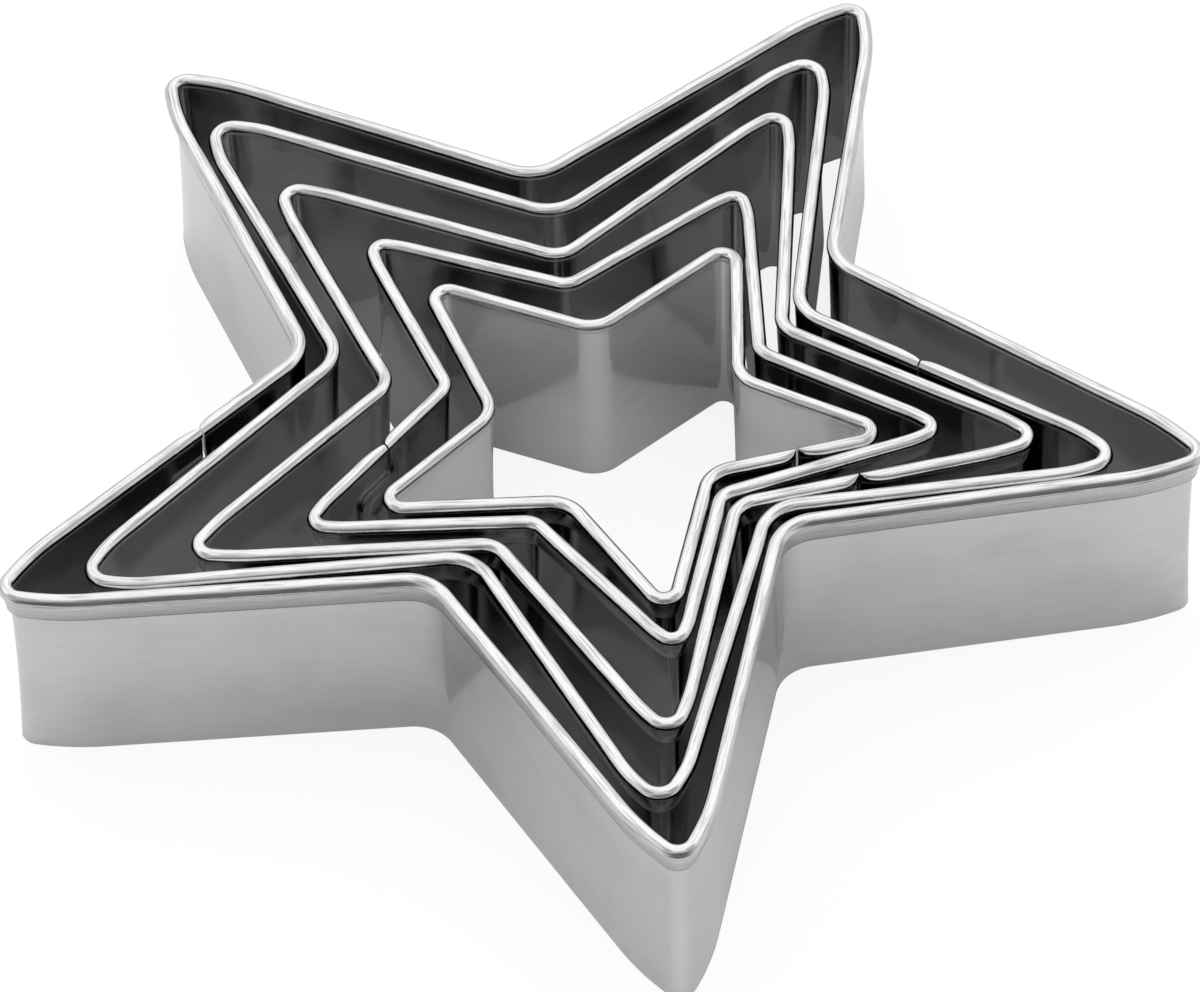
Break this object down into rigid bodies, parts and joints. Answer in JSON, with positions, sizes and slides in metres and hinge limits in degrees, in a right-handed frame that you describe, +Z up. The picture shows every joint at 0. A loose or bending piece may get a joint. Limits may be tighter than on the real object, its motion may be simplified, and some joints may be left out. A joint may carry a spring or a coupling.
{
  "type": "nested star cookie cutter set",
  "caption": "Nest of star-shaped sheet-steel cookie cutters with rolled rims and lapped, spot-welded ends; each star lifts out by itself.",
  "frame": {"origin": "centre of the largest star's bounding box, on the plane that the cutting edges stand on", "axes": "+Z up, from the cutting edges to the rolled rims; +Y to the back, between the two back tips; +X to the right, across the left and right tips"},
  "size_m": [0.115, 0.1098, 0.0213],
  "materials": {
    "steel": "satin sheet steel with faint rolling lines, brighter on the rolled rims"
  },
  "bodies": {
    "largest_cutter": {"largest_cutter": "steel"},
    "large_cutter": {"large_cutter": "steel"},
    "middle_cutter": {"middle_cutter": "steel"},
    "small_cutter": {"small_cutter": "steel"},
    "smallest_cutter": {"smallest_cutter": "steel"}
  },
  "joints": [
    {"name": "large_lift", "type": "slide", "parent": "largest_cutter", "child": "large_cutter", "axis": [0, 0, 1], "range_m": [0, 0.03]},
    {"name": "middle_lift", "type": "slide", "parent": "largest_cutter", "child": "middle_cutter", "axis": [0, 0, 1], "range_m": [0, 0.03]},
    {"name": "small_lift", "type": "slide", "parent": "largest_cutter", "child": "small_cutter", "axis": [0, 0, 1], "range_m": [0, 0.03]},
    {"name": "smallest_lift", "type": "slide", "parent": "largest_cutter", "child": "smallest_cutter", "axis": [0, 0, 1], "range_m": [0, 0.03]}
  ]
}
